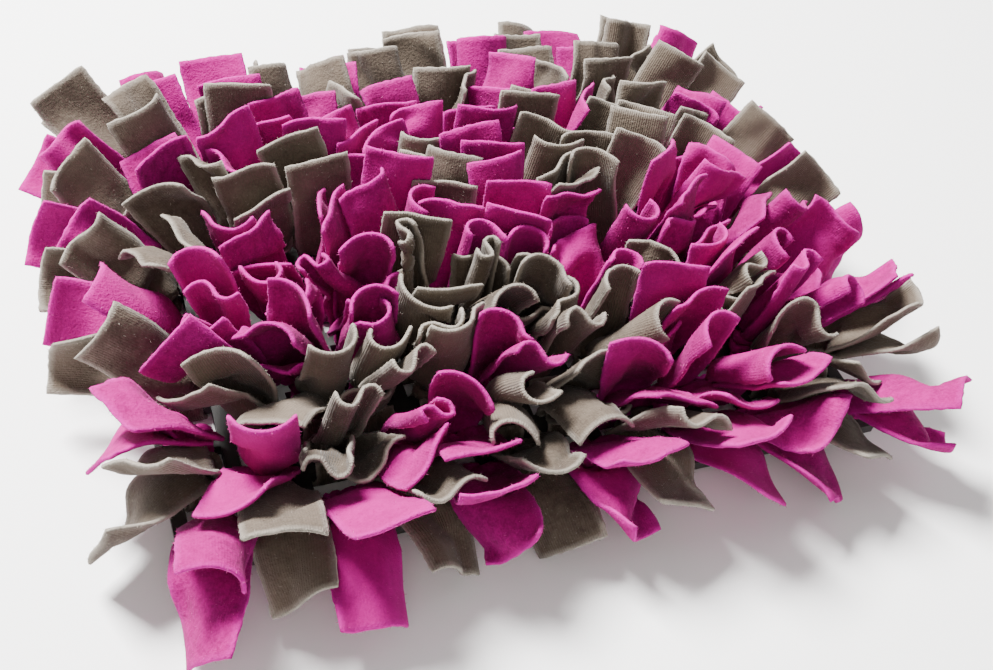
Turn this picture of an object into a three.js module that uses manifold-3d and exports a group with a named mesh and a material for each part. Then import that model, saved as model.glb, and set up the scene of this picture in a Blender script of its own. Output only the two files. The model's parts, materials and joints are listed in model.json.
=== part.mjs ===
// Snuffle mat: fleece strips tied in rows through a rubber lattice. Millimetres, +Z up,
// +X along the long side, standing on Z = 0 with the middle of its bounds over the origin.
import * as THREE from "three";
import Module from "manifold-3d";

// ---- driving dimensions (mm) ----
const COLUMNS = 12;            // knots along a row
const ROWS = 10;               // rows of knots, row 0 nearest -Y
const COLUMN_PITCH = 25;
const ROW_PITCH = 22;
const BAR = 8;                 // lattice bar under a row of knots
const CROSS_BAR = 6;           // lattice bar from row to row, between the knots
const RIM_GAP = 5;             // opening between the outermost rows' bars and the rim
const LATTICE_Z = 2.4;         // underside of the lattice, over the loops of fleece
const LATTICE_T = 5;
const STRIP_T = 2;             // fleece thickness
const STRIP_W = 28;            // cut width of a strip
const TAIL_LENGTH = 57;        // knot to cut end
const HOOK_W = 12;             // strip gathered where it passes under the bar
const SEAT_Z = 7.8;            // underside of the knots, on top of the bar
const SEAT_T = 4.8;
const SEAT_INNER = 0.3;        // half gap between the two colours' seats in a row
const SEAT_OUTER = 7.4;
const ROOT_APART = 3.1;        // between the middles of a knot's two tails
const ROOT_DEPTH = 0.6;        // how far a tail reaches down into its knot's seat
const STEM_RISE = 56;          // least elevation of a tail where it leaves its knot
const STEM_APART = 15;         // the inner tail of a knot leaves it this much steeper
const INNER_BEND = 0.3;        // share of the bend that the inner tail of a knot takes
const SPACING = 5.2;           // least distance kept between middles of two tails
const SETTLE_STEPS = 300;
const TRIM_ROUNDS = 9;         // tails that still cross are cut smaller and settled again
const TOLERANCE = 0.005;       // thinner slivers are merged when solids are joined
const SEED = 13;

// each section of a tail, from the knot to the cut end: shares of its length and of its width
const SECTIONS = [
  { at: 0, width: 0.2 },
  { at: 0.18, width: 0.58 },
  { at: 0.45, width: 0.92 },
  { at: 0.72, width: 1 },
  { at: 1, width: 1 },
];
const SEGMENTS = SECTIONS.length - 1;

const COLOURS = {
  magenta: { color: 0xb83a86, side: -1 },
  grey: { color: 0x8f867b, side: 1 },
};

// ---- seeded random numbers ----
function randomSource(seed) {
  let state = seed * 2654435761 >>> 0;
  return () => {
    state = (state + 0x6d2b79f5) >>> 0;
    let t = Math.imul(state ^ (state >>> 15), 1 | state);
    t = (t + Math.imul(t ^ (t >>> 7), 61 | t)) ^ t;
    return ((t ^ (t >>> 14)) >>> 0) / 4294967296;
  };
}
const random = randomSource(SEED);
const spread = (range) => (random() * 2 - 1) * range;
const radians = (degrees) => degrees * Math.PI / 180;
const smooth = (from, to, x) => {
  const t = Math.min(1, Math.max(0, (x - from) / (to - from)));
  return t * t * (3 - 2 * t);
};

const columnX = (column) => (column - (COLUMNS - 1) / 2) * COLUMN_PITCH;
const rowY = (row) => (row - (ROWS - 1) / 2) * ROW_PITCH;
const EDGE_X = columnX(COLUMNS - 1) + COLUMN_PITCH / 2 + CROSS_BAR / 2;
const EDGE_Y = rowY(ROWS - 1) + BAR / 2 + RIM_GAP + CROSS_BAR;

// ---- how each tail is meant to lie ----
// Knots whose strip is given: colour M or G, heading of its tails in plan in degrees from +X,
// bend from the knot to the cut end in degrees, turn of the width about the tail in degrees.
const PLACED = [
  // column, row, colour, heading, bend, turn
  [0, 0, "M", -112, 96, -15], [1, 0, "G", -95, 84, 5], [2, 0, "M", -88, 102, 25],
  [3, 0, "G", -84, 96, -20], [4, 0, "M", -92, 84, 30], [5, 0, "G", -86, 100, -30],
  [6, 0, "M", -80, 92, 20], [7, 0, "G", -84, 72, 0], [8, 0, "M", -78, 60, -10],
  [9, 0, "M", -70, 88, 15], [10, 0, "G", -62, 70, -25], [11, 0, "M", -38, 88, 20],
  [0, 1, "G", -152, 84, 10], [0, 2, "M", -166, 72, -20], [0, 3, "G", 178, 74, 0],
  [0, 4, "M", 172, 66, 25], [0, 5, "G", 180, 70, -15], [0, 6, "M", 170, 62, 10],
  [0, 7, "G", 168, 78, 0], [0, 8, "M", 150, 50, -20], [0, 9, "G", 132, 40, 10],
  [11, 1, "G", -12, 62, 15], [11, 2, "M", -6, 56, -20], [11, 3, "M", 4, 60, 10],
  [11, 4, "G", 0, 64, -10], [11, 5, "M", 6, 58, 20], [11, 6, "G", 10, 48, 0],
  [11, 7, "M", 8, 60, -15], [11, 8, "G", 30, 46, 10], [11, 9, "M", 48, 36, -10],
  [1, 9, "M", 112, 18, 10], [2, 9, "M", 96, 10, -5], [3, 9, "G", 92, 14, 15],
  [4, 9, "M", 88, 22, -20], [5, 9, "G", 90, 8, 10], [6, 9, "G", 94, 12, -8],
  [7, 9, "M", 86, 16, 12], [8, 9, "G", 84, 22, 25], [9, 9, "M", 80, 14, -12],
  [10, 9, "G", 70, 20, 8],
  [1, 1, "M", -120, 40, 30], [2, 1, "G", -96, 46, -25], [3, 1, "M", -84, 28, 35],
  [6, 1, "G", -88, 40, 35], [7, 1, "M", -80, 26, -35], [9, 1, "M", -76, 32, 10],
  [10, 1, "G", -60, 46, -20], [2, 2, "G", -100, 36, 20], [3, 2, "G", -90, 24, -35],
  [4, 2, "G", -84, 20, 35], [5, 2, "M", -90, 30, -35], [6, 2, "G", -82, 34, 35],
  [7, 2, "G", -76, 24, 35], [10, 2, "M", -30, 44, -15], [3, 3, "M", -96, 22, 35],
  [4, 3, "G", -92, 34, -35], [5, 3, "G", -88, 40, 10], [8, 3, "G", -70, 30, -35],
  [10, 3, "M", -20, 48, 25], [2, 4, "M", -130, 22, 20], [4, 4, "G", -110, 34, 35],
  [6, 4, "M", -80, 24, -35], [7, 4, "M", -70, 34, 25], [9, 4, "M", -40, 20, 35],
  [2, 6, "G", 150, 36, -35], [10, 6, "G", 30, 16, 15], [9, 6, "G", 60, 10, -10],
  [2, 8, "G", 104, 10, 5], [4, 8, "G", 92, 34, -30], [6, 8, "G", 88, 8, 20],
];
const COLOUR_OF = { M: "magenta", G: "grey" };

// The tails lean outwards, more towards the rim, droop at the near end and the sides, and stand
// straighter at the far end. In the middle they turn more freely. The outer tail of a pair bows
// further than the inner one.
function knotPose(column, row) {
  const u = columnX(column) / columnX(COLUMNS - 1);
  const v = rowY(row) / rowY(ROWS - 1);
  const rimX = smooth(0.72, 1, Math.abs(u)) * Math.sign(u);
  const rimY = smooth(0.68, 1, Math.abs(v)) * Math.sign(v);
  const rim = Math.min(1, Math.hypot(rimX, rimY));
  const droop = 52 * Math.min(1, Math.hypot(rimX, Math.min(0, rimY))) + 6 * Math.max(0, rimY);
  const leanX = 0.3 * u + 0.5 * rimX + spread(0.12);
  const leanY = 0.3 * v + 0.45 * rimY + spread(0.08);
  const pose = {
    colour: random() < 0.5 ? "magenta" : "grey",
    heading: Math.atan2(leanY, leanX) * 180 / Math.PI,
    rise: 90 - Math.atan(Math.hypot(leanX, leanY)) * 180 / Math.PI,
    bend: 8 + 30 * random() * (0.4 + 0.6 * Math.hypot(u, v)) + droop,
    bendApart: 5 + 7 * random(),
    turn: spread(18 + 18 * (1 - rim)),
    freedom: 1 - rim,
  };
  const given = PLACED.find(([c, r]) => c === column && r === row);
  if (given) {
    const [, , colour, heading, bend, turn] = given;
    Object.assign(pose, { colour: COLOUR_OF[colour], heading, bend, turn });
  }
  return pose;
}

function layTails() {
  const tails = [];
  for (let row = 0; row < ROWS; row++) {
    for (let column = 0; column < COLUMNS; column++) {
      const pose = knotPose(column, row);
      for (const outer of [1, -1]) {
        tails.push({
          column, row, colour: pose.colour, outer, heading: pose.heading, rise: pose.rise,
          fall: pose.rise - pose.bend * (outer > 0 ? 1 : INNER_BEND) - outer * pose.bendApart,
          turn: pose.turn + outer * 4,
          length: TAIL_LENGTH + spread(6),
          width: STRIP_W - 6 * random() * pose.freedom,
        });
      }
    }
  }
  return tails;
}

// middle line and width direction of a tail as it is meant to lie
function tailSections(tail) {
  const seat = COLOURS[tail.colour].side * (SEAT_INNER + SEAT_OUTER) / 2;
  const heading = radians(tail.heading);
  const out = new THREE.Vector3(Math.cos(heading), Math.sin(heading), 0);
  const up = new THREE.Vector3(0, 0, 1);
  const facing = out.clone().multiplyScalar(Math.cos(radians(tail.rise)))
    .add(new THREE.Vector3(0, Math.sign(out.y || 1) * 0.35, 0)).normalize();
  const point = new THREE.Vector3(
    columnX(tail.column), rowY(tail.row) + seat, SEAT_Z + SEAT_T - ROOT_DEPTH)
    .addScaledVector(facing, tail.outer * ROOT_APART / 2);
  const sections = [];
  for (let k = 0; k <= SEGMENTS; k++) {
    const middle = k > 1 ? (SECTIONS[k - 1].at + SECTIONS[k].at) / 2 : 0;
    const stem = Math.max(tail.rise, STEM_RISE) + (tail.outer < 0 ? STEM_APART : 0);
    const elevation = radians(k < 2 ? Math.min(stem, 88)
      : tail.rise + (tail.fall - tail.rise) * middle);
    const along = out.clone().multiplyScalar(Math.cos(elevation))
      .addScaledVector(up, Math.sin(elevation));
    if (k) point.addScaledVector(along, tail.length * (SECTIONS[k].at - SECTIONS[k - 1].at));
    const side = new THREE.Vector3().crossVectors(along, facing);
    const across = side.addScaledVector(along, -side.dot(along)).normalize()
      .applyAxisAngle(along, radians(tail.turn) * middle);
    sections.push({ middle: point.clone(), across, width: tail.width * SECTIONS[k].width });
  }
  return sections;
}

// ---- settling: the tails are pushed apart until none touches another, the floor or the base ----
const PER_TAIL = 2 * (SEGMENTS + 1);
const ACROSS = 6;
const ALONG = 3;

function settle(tails) {
  const count = tails.length * PER_TAIL;
  const goal = new Float64Array(count * 3);
  const at = new Float64Array(count * 3);
  tails.forEach((tail, t) => tailSections(tail).forEach((section, k) => {
    for (const side of [0, 1]) {
      const i = 3 * (t * PER_TAIL + 2 * k + side);
      const reach = (side - 0.5) * section.width;
      const { middle, across } = section;
      [middle.x, middle.y, middle.z].forEach((m, d) => {
        const a = [across.x, across.y, across.z][d];
        goal[i + d] = m + a * reach;
        at[i + d] = m + a * reach * 0.2;
      });
    }
  }));

  const samples = [];
  tails.forEach((tail, t) => {
    for (let k = 0; k < SEGMENTS; k++) {
      for (let a = 0; a < ALONG; a++) {
        const along = (a + 1) / ALONG;
          for (let b = 0; b < ACROSS; b++) {
          const across = b / (ACROSS - 1);
          samples.push({
            tail: t, first: t * PER_TAIL + 2 * k, stem: k === 0,
            weights: [(1 - along) * (1 - across), (1 - along) * across,
              along * (1 - across), along * across],
          });
        }
      }
    }
  });
  const total = samples.length;
  const where = new Float64Array(total * 3);
  const owner = Int32Array.from(samples, (sample) => sample.tail);
  const stem = Uint8Array.from(samples, (sample) => sample.stem);

  const movable = (i) => (i % PER_TAIL < 4 ? 0 : 1);
  const link = (i, j, rest, stiffness, onlyShorter = false) => {
    const a = 3 * i, b = 3 * j;
    const dx = at[b] - at[a], dy = at[b + 1] - at[a + 1], dz = at[b + 2] - at[a + 2];
    const length = Math.sqrt(dx * dx + dy * dy + dz * dz) || 1e-9;
    if (onlyShorter && length > rest) return;
    const sum = movable(i) + movable(j);
    if (!sum) return;
    const push = stiffness * (length - rest) / length / sum;
    const wi = push * movable(i), wj = push * movable(j);
    at[a] += dx * wi; at[a + 1] += dy * wi; at[a + 2] += dz * wi;
    at[b] -= dx * wj; at[b + 1] -= dy * wj; at[b + 2] -= dz * wj;
  };
  const nudge = (sample, dx, dy, dz) => {
    const w = sample.weights;
    const norm = w[0] * w[0] + w[1] * w[1] + w[2] * w[2] + w[3] * w[3];
    for (let q = 0; q < 4; q++) {
      const i = sample.first + q;
      if (!movable(i)) continue;
      const share = w[q] / norm;
      at[3 * i] += dx * share; at[3 * i + 1] += dy * share; at[3 * i + 2] += dz * share;
    }
  };

  const heads = new Int32Array(65536);
  const next = new Int32Array(total);
  const bucket = (x, y, z) =>
    (Math.imul(x, 73856093) ^ Math.imul(y, 19349663) ^ Math.imul(z, 83492791)) & 65535;
  for (let step = 0; step < SETTLE_STEPS; step++) {
    const grown = 0.2 + 0.8 * smooth(0, 0.6, step / SETTLE_STEPS);
    const gap = SPACING * (0.35 + 0.65 * smooth(0, 0.6, step / SETTLE_STEPS));
    const pull = 0.05 * (1 - smooth(0.5, 0.8, step / SETTLE_STEPS));
    for (let i = 0; i < count; i++) {
      if (!movable(i)) continue;
      const partner = i % 2 ? i - 1 : i + 1;
      for (let d = 0; d < 3; d++) {
        const m = (goal[3 * i + d] + goal[3 * partner + d]) / 2;
        const want = m + (goal[3 * i + d] - m) * grown;
        at[3 * i + d] += (want - at[3 * i + d]) * pull;
      }
    }
    for (let round = 0; round < 2; round++) {
      tails.forEach((tail, t) => {
        const base = t * PER_TAIL;
        const width = (k) => tail.width * SECTIONS[k].width * grown;
        for (let k = 1; k <= SEGMENTS; k++) link(base + 2 * k, base + 2 * k + 1, width(k), 1);
        for (let k = 0; k < SEGMENTS; k++) {
          const i = base + 2 * k;
          const length = tail.length * (SECTIONS[k + 1].at - SECTIONS[k].at);
          const taper = (width(k + 1) - width(k)) / 2;
          const cross = (width(k + 1) + width(k)) / 2;
          link(i, i + 2, Math.hypot(length, taper), 1);
          link(i + 1, i + 3, Math.hypot(length, taper), 1);
          link(i, i + 3, Math.hypot(length, cross), 0.8);
          link(i + 1, i + 2, Math.hypot(length, cross), 0.8);
          if (k + 2 <= SEGMENTS) {
            const two = 0.85 * tail.length * (SECTIONS[k + 2].at - SECTIONS[k].at);
            link(i, i + 4, two, 0.6, true);
            link(i + 1, i + 5, two, 0.6, true);
          }
        }
      });
    }
    heads.fill(-1);
    for (let s = 0; s < total; s++) {
      const { first, weights } = samples[s];
      for (let d = 0; d < 3; d++) {
        let sum = 0;
        for (let q = 0; q < 4; q++) sum += weights[q] * at[3 * (first + q) + d];
        where[3 * s + d] = sum;
      }
      const own = bucket(Math.floor(where[3 * s] / gap), Math.floor(where[3 * s + 1] / gap),
        Math.floor(where[3 * s + 2] / gap));
      next[s] = heads[own];
      heads[own] = s;
    }
    for (let s = 0; s < total; s++) {
      const x = where[3 * s], y = where[3 * s + 1], z = where[3 * s + 2];
      const cx = Math.floor(x / gap), cy = Math.floor(y / gap), cz = Math.floor(z / gap);
      for (let near = 0; near < 27; near++) {
        let o = heads[bucket(cx + near % 3 - 1, cy + (near / 3 | 0) % 3 - 1,
          cz + (near / 9 | 0) - 1)];
        for (; o >= 0; o = next[o]) {
          if (o <= s || owner[o] === owner[s] || (stem[o] && stem[s])) continue;
          const dx = where[3 * o] - x, dy = where[3 * o + 1] - y, dz = where[3 * o + 2] - z;
          const square = dx * dx + dy * dy + dz * dz;
          if (square >= gap * gap || square < 1e-9) continue;
          const apart = Math.sqrt(square);
          const push = 0.4 * (gap - apart) / apart;
          nudge(samples[s], -dx * push, -dy * push, -dz * push);
          nudge(samples[o], dx * push, dy * push, dz * push);
        }
      }
      const overX = EDGE_X + 3.5 - Math.abs(x), overY = EDGE_Y + 3.5 - Math.abs(y);
      const under = SEAT_Z + SEAT_T + 3 - z;
      if (overX > 0 && overY > 0 && under > 0) {
        if (under <= overX && under <= overY) nudge(samples[s], 0, 0, under);
        else if (overX < overY) nudge(samples[s], Math.sign(x) * overX, 0, 0);
        else nudge(samples[s], 0, Math.sign(y) * overY, 0);
      }
    }
    for (let i = 0; i < count; i++) {
      at[3 * i + 2] = Math.max(at[3 * i + 2], STRIP_T / 2 + 0.05);
    }
  }
  return at;
}

// ---- solids ----
const wasm = await Module();
wasm.setup();

// a closed body from its points and faces, with the faces turned outwards
function solid(points, faces) {
  const corner = faces.map((face) => face.map((i) => new THREE.Vector3(...points[i])));
  const volume = corner.reduce((sum, [a, b, c]) => sum + a.dot(b.clone().cross(c)), 0);
  const outward = volume < 0 ? faces.map(([a, b, c]) => [a, c, b]) : faces;
  return new wasm.Manifold(new wasm.Mesh({
    numProp: 3,
    vertProperties: new Float32Array(points.flat()),
    triVerts: new Uint32Array(outward.flat()),
    tolerance: TOLERANCE,
  }));
}

const join = (solids) => solids.reduce((whole, piece) => whole.add(piece));

// faces of a closed tube of rings, each ring of the same number of points
function tubeFaces(rings, sides) {
  const faces = [];
  for (let k = 0; k + 1 < rings; k++) {
    for (let a = 0; a < sides; a++) {
      const b = (a + 1) % sides;
      const near = k * sides, far = near + sides;
      // opposite walls share a diagonal, so that those of a turned sheet stay apart
      const [from, to] = a < sides / 2 ? [a, b] : [b, a];
      faces.push([near + a, near + b, far + to], [near + from, far + b, far + a]);
    }
  }
  const last = (rings - 1) * sides;
  for (let a = 1; a + 1 < sides; a++) faces.push([0, a + 1, a], [last, last + a, last + a + 1]);
  return faces;
}

function box(x0, x1, y0, y1, z0, z1) {
  const ring = (z) => [[x0, y0, z], [x1, y0, z], [x1, y1, z], [x0, y1, z]];
  return solid([...ring(z0), ...ring(z1)], tubeFaces(2, 4));
}

function tailSolid(at, t) {
  const vector = (i) => new THREE.Vector3(at[3 * i], at[3 * i + 1], at[3 * i + 2]);
  const left = [], right = [];
  for (let k = 0; k <= SEGMENTS; k++) {
    left.push(vector(t * PER_TAIL + 2 * k));
    right.push(vector(t * PER_TAIL + 2 * k + 1));
  }
  const middle = left.map((l, k) => l.clone().add(right[k]).multiplyScalar(0.5));
  const points = [];
  for (let k = 0; k <= SEGMENTS; k++) {
    const ahead = k < 2 ? 1 : Math.min(k + 1, SEGMENTS);
    const along = middle[ahead].clone().sub(middle[k < 2 ? 0 : k - 1]);
    const normal = right[k].clone().sub(left[k]).cross(along).normalize()
      .multiplyScalar(STRIP_T / 2);
    for (const [edge, sign] of [[left, -1], [right, -1], [right, 1], [left, 1]]) {
      points.push(edge[k].clone().addScaledVector(normal, sign).toArray());
    }
  }
  return solid(points, tubeFaces(SEGMENTS + 1, 4));
}

// tails that still run into another one after settling
function crossingTails(tails, at) {
  const solids = tails.map((_, t) => tailSolid(at, t));
  const bounds = solids.map((body) => body.boundingBox());
  const crossing = new Set();
  for (let i = 0; i < tails.length; i++) {
    for (let j = i + 1; j < tails.length; j++) {
      const away = [0, 1, 2].some((d) => bounds[i].max[d] < bounds[j].min[d]
        || bounds[j].max[d] < bounds[i].min[d]);
      if (away || solids[i].intersect(solids[j]).volume() < 0.005) continue;
      crossing.add(i).add(j);
    }
  }
  return crossing;
}

// the strip where it passes down in front of a bar, under it and up behind it
function hookSolid(x, y, side) {
  const inner = BAR / 2 + 0.4, outer = inner + STRIP_T;
  const profile = [
    [-outer, 0], [outer, 0], [outer, SEAT_Z - 0.8], [inner, SEAT_Z - 0.8],
    [inner, STRIP_T], [-inner, STRIP_T], [-inner, SEAT_Z + 0.8], [-outer, SEAT_Z + 0.8],
  ];
  const shape = profile.map(([py, pz]) => new THREE.Vector2(py, pz));
  const caps = THREE.ShapeUtils.triangulateShape(shape, []);
  const n = profile.length;
  const points = [-HOOK_W / 2, HOOK_W / 2].flatMap((dx) =>
    profile.map(([py, pz]) => [x + dx, y - side * py, pz]));
  const faces = [];
  for (const [a, b, c] of caps) faces.push([a, c, b], [n + a, n + b, n + c]);
  for (let a = 0; a < n; a++) {
    const b = (a + 1) % n;
    faces.push([a, b, n + b], [a, n + b, n + a]);
  }
  return solid(points, faces);
}

function latticeSolid() {
  let grid = box(-EDGE_X, EDGE_X, -EDGE_Y, EDGE_Y, LATTICE_Z, LATTICE_Z + LATTICE_T);
  for (let column = 0; column < COLUMNS; column++) {
    const x0 = columnX(column) - (COLUMN_PITCH - CROSS_BAR) / 2;
    const x1 = x0 + COLUMN_PITCH - CROSS_BAR;
    for (let row = 0; row <= ROWS; row++) {
      const y0 = Math.max(rowY(row - 1) + BAR / 2, CROSS_BAR - EDGE_Y);
      const y1 = Math.min(rowY(row) - BAR / 2, EDGE_Y - CROSS_BAR);
      grid = grid.subtract(box(x0, x1, y0, y1, LATTICE_Z - 1, LATTICE_Z + LATTICE_T + 1));
    }
  }
  return grid;
}

// largest faces first
function geometryOf(manifold) {
  const mesh = manifold.getMesh();
  const corner = (i) => new THREE.Vector3().fromArray(mesh.vertProperties, i * mesh.numProp);
  const faces = [];
  for (let t = 0; t < mesh.triVerts.length; t += 3) {
    const face = [...mesh.triVerts.slice(t, t + 3)];
    faces.push({ face, area: new THREE.Triangle(...face.map(corner)).getArea() });
  }
  faces.sort((a, b) => b.area - a.area);
  const geometry = new THREE.BufferGeometry();
  const xyz = Array.from({ length: mesh.numVert }, (_, i) => corner(i).toArray()).flat();
  geometry.setAttribute("position", new THREE.Float32BufferAttribute(xyz, 3));
  geometry.setIndex(faces.flatMap(({ face }) => face));
  geometry.computeVertexNormals();
  return geometry;
}

// ---- assembly ----
const group = new THREE.Group();
group.name = "snuffle_mat";

function addNode(name, geometry, color, roughness) {
  const material = new THREE.MeshStandardMaterial({ color, roughness, metalness: 0 });
  const mesh = new THREE.Mesh(geometry, material);
  mesh.name = name;
  group.add(mesh);
}

const tails = layTails();
let settled = settle(tails);
for (let round = 0; round < TRIM_ROUNDS; round++) {
  const crossing = crossingTails(tails, settled);
  if (!crossing.size) break;
  for (const t of crossing) {
    tails[t].width *= 0.9;
    tails[t].length *= 0.95;
  }
  settled = settle(tails);
}

addNode("base_lattice", geometryOf(latticeSolid()), 0x2c2b2a, 0.8);
for (let row = 0; row < ROWS; row++) {
  for (const [colour, { color, side }] of Object.entries(COLOURS)) {
    const mine = tails.map((tail, t) => ({ ...tail, t }))
      .filter((tail) => tail.row === row && tail.colour === colour);
    if (!mine.length) continue;
    const xs = mine.map((tail) => columnX(tail.column));
    const y = rowY(row);
    const ys = [side * SEAT_INNER, side * SEAT_OUTER].sort((a, b) => a - b);
    const pieces = [box(Math.min(...xs) - 8, Math.max(...xs) + 8, y + ys[0], y + ys[1],
      SEAT_Z, SEAT_Z + SEAT_T)];
    for (const tail of mine) {
      pieces.push(tailSolid(settled, tail.t));
      if (tail.outer > 0) pieces.push(hookSolid(columnX(tail.column), y, side));
    }
    addNode(`${colour}_row_${row + 1}`, geometryOf(join(pieces)), color, 1);
  }
}

const bounds = new THREE.Box3().setFromObject(group);
for (const mesh of group.children) {
  mesh.geometry.translate(-(bounds.min.x + bounds.max.x) / 2, -(bounds.min.y + bounds.max.y) / 2, 0);
}

export default group;
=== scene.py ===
import json
import math

import bpy
import numpy as np
from mathutils import Matrix, Vector
from mathutils.bvhtree import BVHTree

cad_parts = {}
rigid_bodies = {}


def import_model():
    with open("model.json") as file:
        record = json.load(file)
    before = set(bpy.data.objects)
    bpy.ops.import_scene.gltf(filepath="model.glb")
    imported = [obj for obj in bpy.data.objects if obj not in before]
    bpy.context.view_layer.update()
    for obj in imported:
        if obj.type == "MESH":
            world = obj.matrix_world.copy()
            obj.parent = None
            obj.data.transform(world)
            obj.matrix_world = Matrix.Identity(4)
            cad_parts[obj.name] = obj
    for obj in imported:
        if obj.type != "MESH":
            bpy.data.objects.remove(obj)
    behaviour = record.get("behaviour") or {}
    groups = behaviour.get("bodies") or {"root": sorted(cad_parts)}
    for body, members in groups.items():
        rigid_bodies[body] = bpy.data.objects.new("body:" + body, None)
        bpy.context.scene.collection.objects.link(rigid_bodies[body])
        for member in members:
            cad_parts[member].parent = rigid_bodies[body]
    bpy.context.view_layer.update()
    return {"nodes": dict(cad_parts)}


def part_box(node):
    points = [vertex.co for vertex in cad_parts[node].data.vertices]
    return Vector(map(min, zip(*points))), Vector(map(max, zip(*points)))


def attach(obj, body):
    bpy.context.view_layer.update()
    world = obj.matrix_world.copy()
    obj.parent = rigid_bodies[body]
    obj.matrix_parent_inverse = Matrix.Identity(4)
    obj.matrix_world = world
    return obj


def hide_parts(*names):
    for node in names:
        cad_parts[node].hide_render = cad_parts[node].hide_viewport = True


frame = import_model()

bl_info = {
    "name": "Snuffle Mat",
    "version": (1, 0, 0),
    "blender": (4, 5, 0),
    "location": "View3D > Sidebar > Snuffle Mat",
    "description": "Dresses the packed snuffle mat: fleece strips, knots, fuzz, lattice and stage",
    "category": "Object",
}

MM = 0.001
COLOURS = ("magenta", "grey")
SEAT_TOP = 12.6          # mm, top of the seats that the tails are fused into
TAIL_LENGTH = 57.0       # mm, from the knot to the cut end
ROOT_HALF = 2.6          # mm, half a tail's width where it leaves its knot
KNOT_REACH = 10.0        # mm, tails whose roots are nearer along a row share a knot
BAR_OFFSET = 3.85        # mm, from a knot to its bar's middle, forwards or back by colour
LOOP_HALF = 8.2          # mm, half the width of a strip under its bar
SECTION_AT = np.array([0.0, 0.18, 0.45, 0.72, 1.0])
THIRD_HALF = np.array([ROOT_HALF, 8.5, 12, 12, 12])
THIRD_LENGTH = (40, 50)  # mm, shortest and longest
ROWS_ALONG = 14          # cloth points along a tail
COLS_ACROSS = 7          # cloth points across a tail
HELD_ROWS = 2            # of these, the ones that don't move
SEAT_ROWS = 3            # the ones inside the knot
GATHERED_ROWS = 5        # and the ones still gathered, where tails of a knot overlap
CLOTH_GAP = 3.9          # mm, kept between the cloth points of different tails
SEARCH_EVERY = 3         # steps between two searches for close points
SEARCH_MARGIN = 1.6      # mm, how much further than the gap they look
FLOOR_GAP = 1.0          # mm, from the floor to the middle of the cloth
LATTICE_GAP = 2.0        # mm, from the lattice and the seats to the middle of the cloth
START_CURL = 0.12        # share of the curl that the cloth starts with
HOLD = 0.04              # how fast a tail's line is drawn to where it should be
CALMING = (0.7, 0.5, 0.3, 1)    # how far a tail that crosses is calmed after each round
CELL_SPAN = 4096         # cells along one axis of the search grid
CELL_SHIFT = 2000        # makes the numbers of all cells positive
FIBRES = 95000.0         # per square metre of cloth
EDGE_FIBRES = 7.0        # times as many more on a cut edge
FLOOR_HALF = 6.0         # m
FINISH = {               # of the fleece in each colour
    "magenta": {"sheen": 0.03, "rib": 0.03, "lift": 1.2},
    "grey": {"sheen": 0.13, "rib": 0.12, "lift": 1.6},
}


# ---------------- settings

class SnuffleSizes(bpy.types.PropertyGroup):
    strip_width: bpy.props.FloatProperty(
        name="Strip Width", description="Cut width of a fleece strip",
        default=0.030, subtype="DISTANCE", unit="LENGTH")
    strip_length: bpy.props.FloatProperty(
        name="Strip Length", description="Cut length of a fleece strip, both tails together",
        default=0.160, subtype="DISTANCE", unit="LENGTH")
    thickness: bpy.props.FloatProperty(
        name="Thickness", description="Thickness of the fleece",
        default=0.0017, subtype="DISTANCE", unit="LENGTH")
    rib_pitch: bpy.props.FloatProperty(
        name="Rib Pitch", description="Pitch of the knit ribs on the back of the fleece",
        default=0.0009, subtype="DISTANCE", unit="LENGTH")
    fibre_length: bpy.props.FloatProperty(
        name="Fibre Length", description="Length of a loose fibre of the nap",
        default=0.0011, subtype="DISTANCE", unit="LENGTH")
    fibre_width: bpy.props.FloatProperty(
        name="Fibre Width", description="Width of a loose fibre of the nap",
        default=0.00012, subtype="DISTANCE", unit="LENGTH")
    settle_steps: bpy.props.IntProperty(
        name="Settle Steps", description="Steps in which the tails curl and settle", default=130)


class SnuffleColours(bpy.types.PropertyGroup):
    magenta: bpy.props.FloatVectorProperty(
        name="Magenta", description="Main colour of the magenta fleece", subtype="COLOR",
        default=(0.335, 0.0015, 0.158), min=0, max=1)
    # Painted shade: the colour of the magenta nap's hollows, darkened for the shade that falls in
    # them.
    magenta_deep: bpy.props.FloatVectorProperty(
        name="Magenta Deep", description="Colour in the hollows of the magenta nap",
        subtype="COLOR", default=(0.18, 0.001, 0.078), min=0, max=1)
    # Painted highlight: a cut edge of the magenta fleece, lightened for the light that its fuzz
    # catches.
    magenta_edge: bpy.props.FloatVectorProperty(
        name="Magenta Edge", description="Colour of a cut edge of the magenta fleece",
        subtype="COLOR", default=(0.50, 0.010, 0.29), min=0, max=1)
    grey: bpy.props.FloatVectorProperty(
        name="Grey", description="Main colour of the grey fleece", subtype="COLOR",
        default=(0.102, 0.081, 0.062), min=0, max=1)
    # Painted shade: the colour of the grey nap's hollows, darkened for the shade that falls in them.
    grey_deep: bpy.props.FloatVectorProperty(
        name="Grey Deep", description="Colour in the hollows of the grey nap", subtype="COLOR",
        default=(0.058, 0.043, 0.033), min=0, max=1)
    # Painted highlight: a cut edge of the grey fleece, lightened for the light that its fuzz catches.
    grey_edge: bpy.props.FloatVectorProperty(
        name="Grey Edge", description="Colour of a cut edge of the grey fleece",
        subtype="COLOR", default=(0.36, 0.33, 0.285), min=0, max=1)
    rubber: bpy.props.FloatVectorProperty(
        name="Rubber", description="Colour of the lattice", subtype="COLOR",
        default=(0.028, 0.028, 0.026), min=0, max=1)
    floor: bpy.props.FloatVectorProperty(
        name="Floor", description="Colour of the floor", subtype="COLOR",
        default=(1.0, 1.0, 1.0), min=0, max=1)


# ---------------- shader nodes

def feed(tree, target, value):
    """Links a wire to a socket, or sets the socket to a value."""
    if isinstance(value, Wire):
        tree.links.new(value.socket, target)
    else:
        target.default_value = value


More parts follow.
